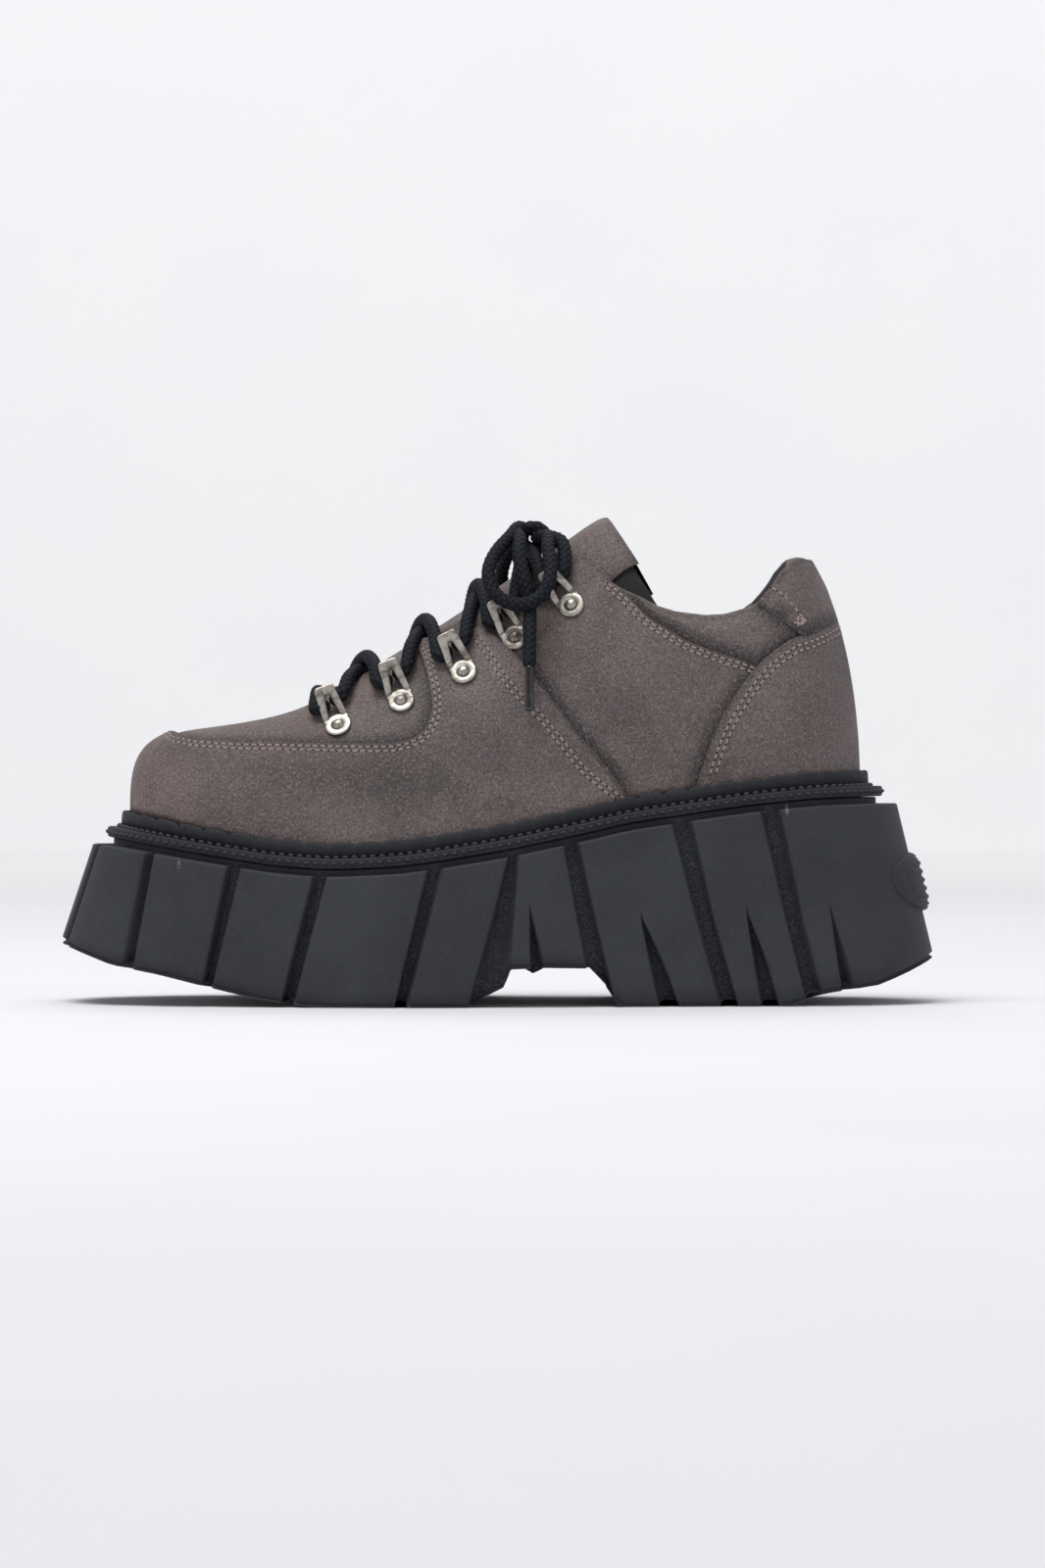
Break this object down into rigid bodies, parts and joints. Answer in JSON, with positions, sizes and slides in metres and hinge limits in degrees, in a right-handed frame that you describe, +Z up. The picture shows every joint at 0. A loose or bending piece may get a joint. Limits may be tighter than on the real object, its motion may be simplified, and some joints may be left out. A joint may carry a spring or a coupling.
{
  "type": "platform lace-up shoe",
  "caption": "Left platform lace-up shoe with a leather upper, stitched welt, metal lace loops, round laces tied in a bow and a thick rubber sole with slanted side blocks",
  "frame": {"origin": "on the floor under the middle of the sole's outline", "axes": "+Z up; the toe points to -X and the heel to +X; -Y is the outer side of the foot and +Y the inner side"},
  "size_m": [0.3148, 0.1252, 0.1779],
  "materials": {
    "sole_rubber": "matte, slightly dusty blue-black moulded rubber",
    "upper_leather": "matte waxed nubuck in dark taupe brown, burnished near the seams",
    "lining": "black woven lining",
    "lace": "round braided black cord",
    "loop_metal": "antiqued nickel with darker recesses",
    "aglet": "smooth dark lace tip"
  },
  "bodies": {
    "root": {"outsole": "sole_rubber", "welt": "sole_rubber", "rand": "sole_rubber", "insole": "lining", "upper": "upper_leather", "mudguard": "upper_leather", "heel_counter": "upper_leather", "heel_tab": "upper_leather", "tongue": "upper_leather", "lace_bar": "lace", "lace_crossing_1": "lace", "lace_crossing_2": "lace", "lace_crossing_3": "lace", "lace_crossing_4": "lace", "loop_lateral_1": "loop_metal", "loop_lateral_2": "loop_metal", "loop_lateral_3": "loop_metal", "loop_lateral_4": "loop_metal", "loop_lateral_5": "loop_metal", "loop_medial_1": "loop_metal", "loop_medial_2": "loop_metal", "loop_medial_3": "loop_metal", "loop_medial_4": "loop_metal", "loop_medial_5": "loop_metal", "lace_knot": "lace", "lace_loop_lateral": "lace", "lace_loop_medial": "lace", "lace_end_lateral": "lace", "lace_end_medial": "lace", "aglet_lateral": "aglet", "aglet_medial": "aglet"}
  },
  "joints": []
}
